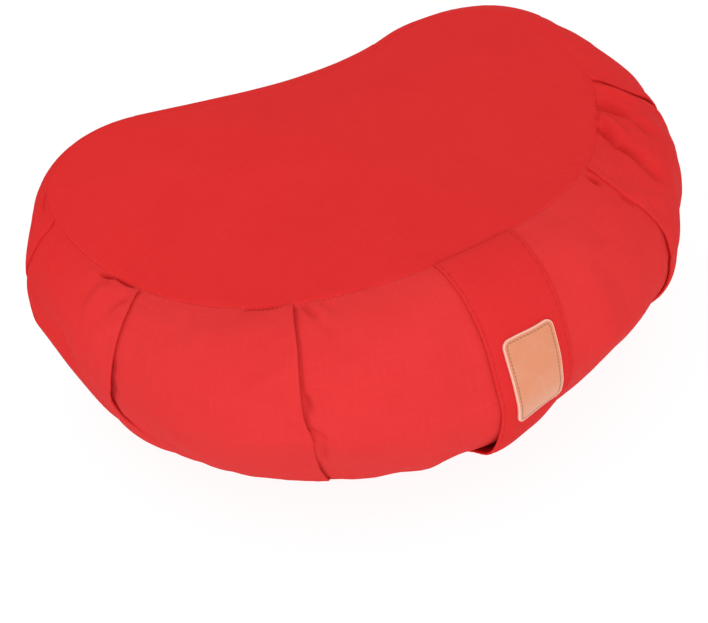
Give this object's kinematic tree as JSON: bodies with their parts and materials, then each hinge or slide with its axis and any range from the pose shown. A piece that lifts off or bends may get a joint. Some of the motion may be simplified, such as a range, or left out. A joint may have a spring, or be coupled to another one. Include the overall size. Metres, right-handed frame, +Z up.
{
  "type": "crescent zafu meditation cushion",
  "caption": "Crescent meditation cushion, firmly filled, with a pleated cotton side band, a wide carry handle down its rounded front and a leather patch on the handle.",
  "frame": {"origin": "middle of the cushion's outline seen from above, on the surface it rests on", "axes": "+Z up, the cushion rests on z = 0. +X along the crescent from one horn to the other, -Y towards the rounded front with the handle, +Y towards the hollow heel side"},
  "size_m": [0.3956, 0.3127, 0.1452],
  "materials": {
    "red_cotton": "matt plain-woven cotton",
    "red_cotton_handle": "matt plain-woven cotton, folded double",
    "tan_leather": "natural vegetable-tanned leather with a slight sheen"
  },
  "bodies": {
    "root": {"cushion": "red_cotton", "carry_handle": "red_cotton_handle", "leather_patch": "tan_leather"}
  },
  "joints": []
}
